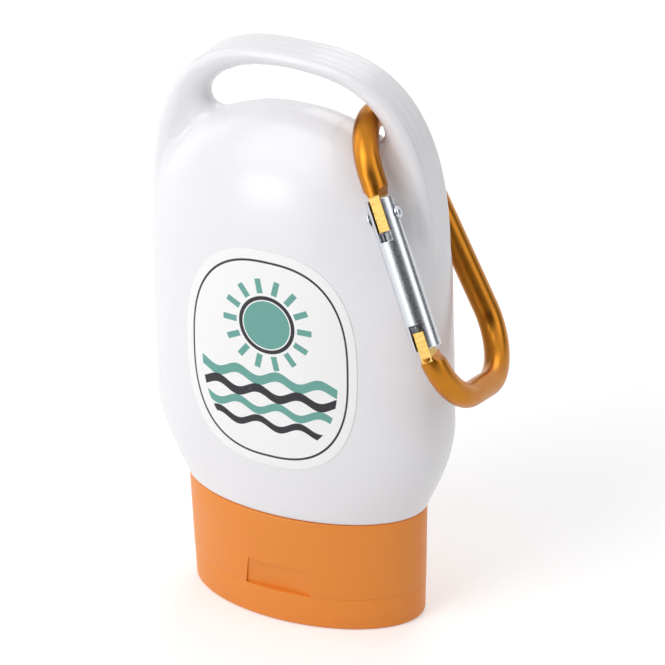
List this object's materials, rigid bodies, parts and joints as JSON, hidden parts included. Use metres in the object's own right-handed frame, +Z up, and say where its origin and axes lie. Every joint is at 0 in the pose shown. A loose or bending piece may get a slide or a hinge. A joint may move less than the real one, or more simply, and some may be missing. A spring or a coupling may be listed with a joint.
{
  "type": "sunscreen bottle",
  "caption": "Flat oval pocket bottle that stands on a flip-top dispensing closure, with a moulded carrying loop over its shoulder and a snap hook hung in the loop.",
  "frame": {"origin": "centre of the lid's flat outer face, which the bottle stands on", "axes": "+X to the right along the bottle's width, -Y to the front with the label, +Z up towards the carrying loop"},
  "size_m": [0.0582, 0.0279, 0.0938],
  "materials": {
    "bottle_plastic": "smooth white moulded polyethylene with a soft gloss",
    "label_film": null,
    "closure_plastic": "orange moulded polypropylene with a fine satin texture",
    "hook_anodised": "gold anodised, drawn smooth, with bare milled faces at the joints",
    "gate_aluminium": "bright turned tube",
    "spring_steel": "plain drawn steel"
  },
  "bodies": {
    "bottle": {"bottle_body": "bottle_plastic", "front_label": "label_film", "closure_body": "closure_plastic", "hinge_film": "closure_plastic", "snap_band_left": "closure_plastic", "snap_band_right": "closure_plastic"},
    "lid": {"flip_lid": "closure_plastic"},
    "hook": {"hook_frame": "hook_anodised", "gate_rivet": "gate_aluminium"},
    "gate": {"hook_gate": "gate_aluminium", "gate_spring": "spring_steel"},
    "plunger": {"gate_plunger": "spring_steel"}
  },
  "joints": [
    {"name": "lid_flip", "type": "hinge", "parent": "bottle", "child": "lid", "pos_m": [0, 0.01155, 0.0055], "axis": [1, 0, 0], "range_deg": [0, 135], "deforming": ["hinge_film", "snap_band_left", "snap_band_right"]},
    {"name": "hook_swing", "type": "hinge", "parent": "bottle", "child": "hook", "pos_m": [0.01223, 0.00003, 0.08396], "axis": [0.2413, -0.9543, -0.1762], "range_deg": [0, 140]},
    {"name": "gate_pivot", "type": "hinge", "parent": "hook", "child": "gate", "pos_m": [0.01886, -0.00872, 0.07349], "axis": [0.8903, 0.1681, 0.4232], "range_deg": [0, 20], "stiffness_Nm_per_rad": 0.02, "springref_deg": -17.19},
    {"name": "plunger_slide", "type": "slide", "parent": "gate", "child": "plunger", "axis": [0.4534, -0.2411, -0.8581], "range_m": [0, 0.0004], "deforming": ["gate_spring"]}
  ],
  "couplings": [
    {"joint": "plunger_slide", "follows": "gate_pivot", "m_per_rad": 0.001}
  ]
}
